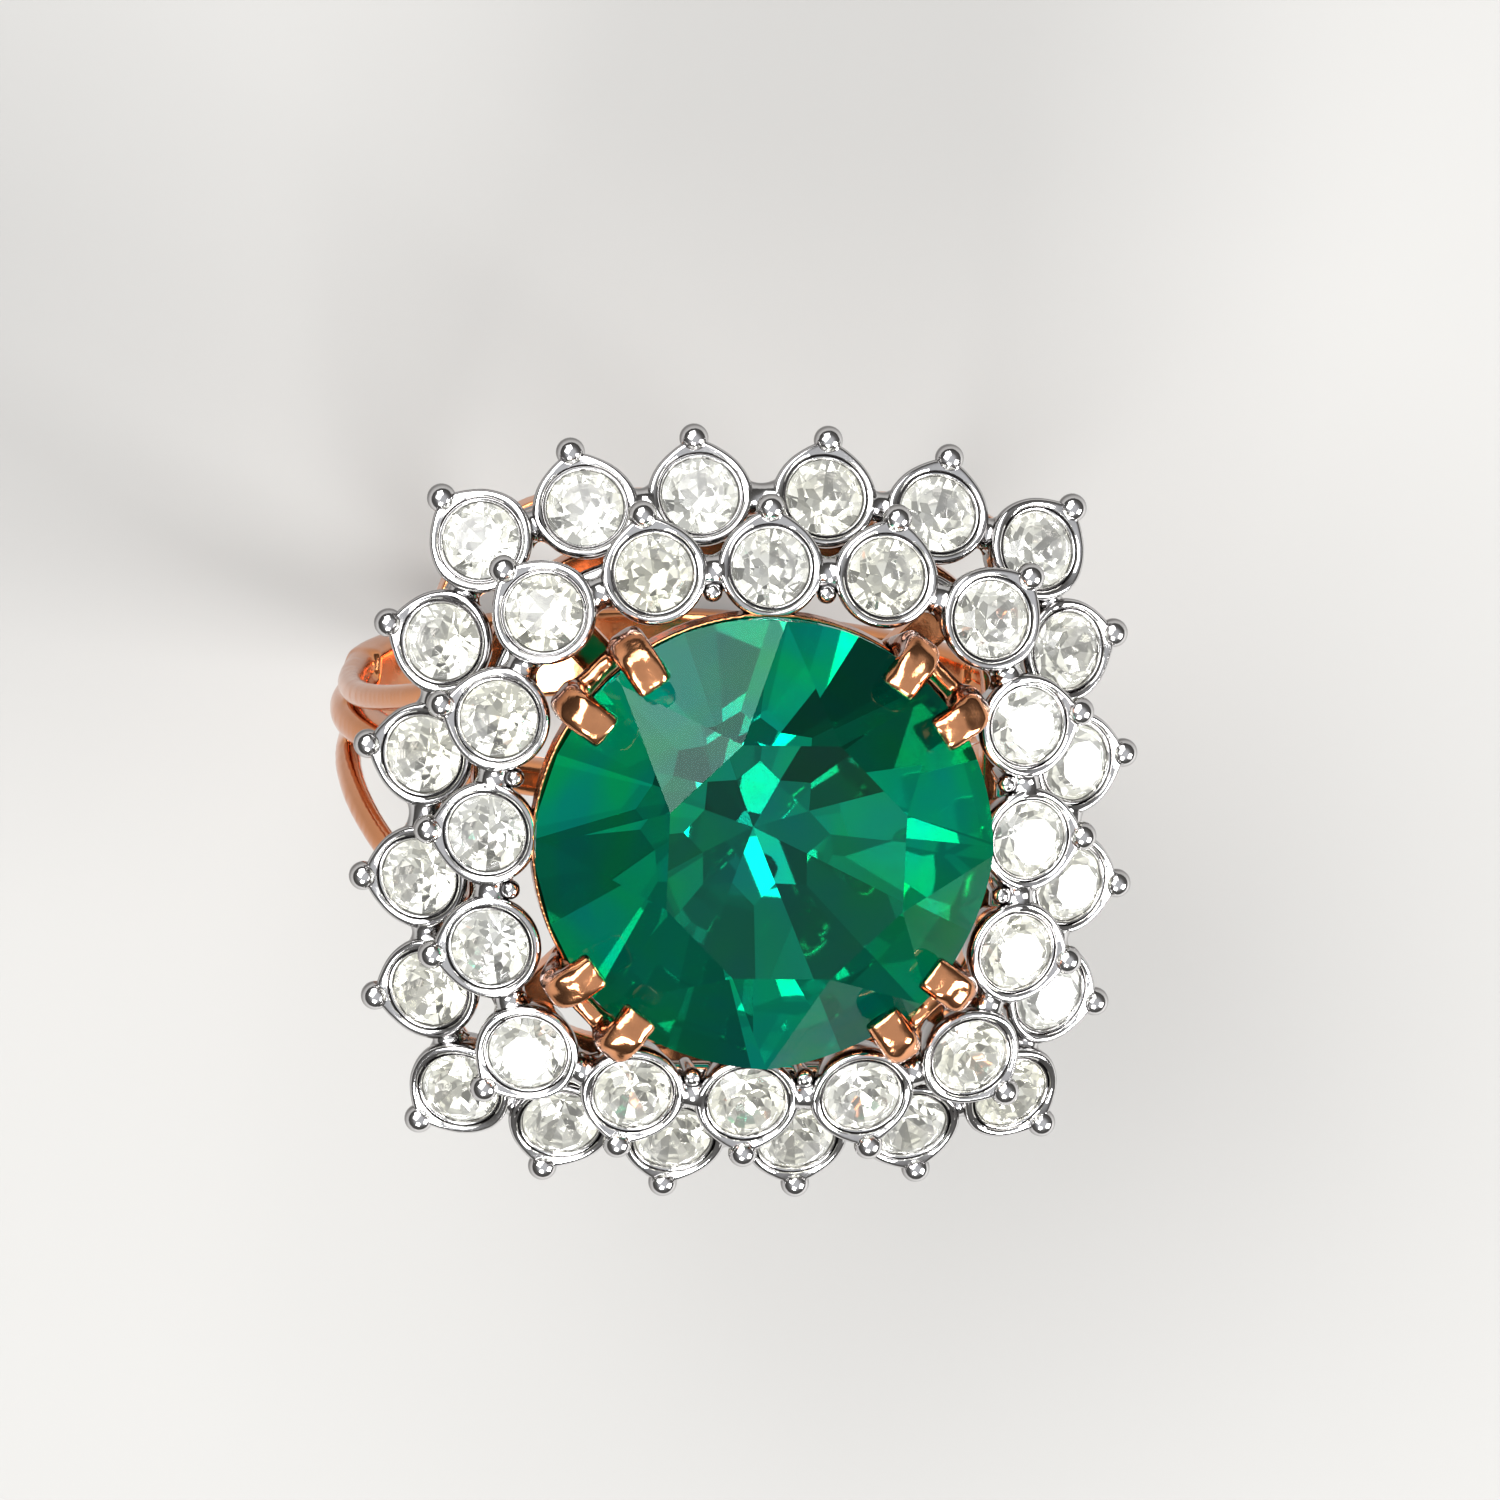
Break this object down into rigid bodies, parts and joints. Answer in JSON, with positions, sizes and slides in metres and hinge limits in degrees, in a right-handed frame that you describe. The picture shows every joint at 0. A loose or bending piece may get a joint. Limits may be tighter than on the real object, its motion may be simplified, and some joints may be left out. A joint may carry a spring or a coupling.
{
  "type": "cocktail ring",
  "caption": "Finger ring with a large round faceted green stone in double claws, a cushion-shaped two-tier halo of small clear stones and a split-shoulder shank.",
  "frame": {"origin": "centre of the finger hole", "axes": "+Y along the finger, +Z through the head and the centre stone, +X across the shank"},
  "size_m": [0.0208, 0.0208, 0.0274],
  "materials": {
    "rose_gold": "polished",
    "white_metal": "polished",
    "green_glass": "faceted, polished",
    "clear_glass": "faceted, foil-backed"
  },
  "bodies": {
    "root": {"basket_collar": "rose_gold", "basket_lower_ring": "rose_gold", "centre_stone": "green_glass", "claw_pair_ne": "rose_gold", "claw_pair_nw": "rose_gold", "claw_pair_se": "rose_gold", "claw_pair_sw": "rose_gold", "gallery_frame": "rose_gold", "inner_halo_frame": "white_metal", "inner_stone_01": "clear_glass", "inner_stone_02": "clear_glass", "inner_stone_03": "clear_glass", "inner_stone_04": "clear_glass", "inner_stone_05": "clear_glass", "inner_stone_06": "clear_glass", "inner_stone_07": "clear_glass", "inner_stone_08": "clear_glass", "inner_stone_09": "clear_glass", "inner_stone_10": "clear_glass", "inner_stone_11": "clear_glass", "inner_stone_12": "clear_glass", "inner_stone_13": "clear_glass", "inner_stone_14": "clear_glass", "inner_stone_15": "clear_glass", "inner_stone_16": "clear_glass", "outer_halo_frame": "white_metal", "outer_stone_01": "clear_glass", "outer_stone_02": "clear_glass", "outer_stone_03": "clear_glass", "outer_stone_04": "clear_glass", "outer_stone_05": "clear_glass", "outer_stone_06": "clear_glass", "outer_stone_07": "clear_glass", "outer_stone_08": "clear_glass", "outer_stone_09": "clear_glass", "outer_stone_10": "clear_glass", "outer_stone_11": "clear_glass", "outer_stone_12": "clear_glass", "outer_stone_13": "clear_glass", "outer_stone_14": "clear_glass", "outer_stone_15": "clear_glass", "outer_stone_16": "clear_glass", "outer_stone_17": "clear_glass", "outer_stone_18": "clear_glass", "outer_stone_19": "clear_glass", "outer_stone_20": "clear_glass", "shank": "rose_gold"}
  },
  "joints": []
}
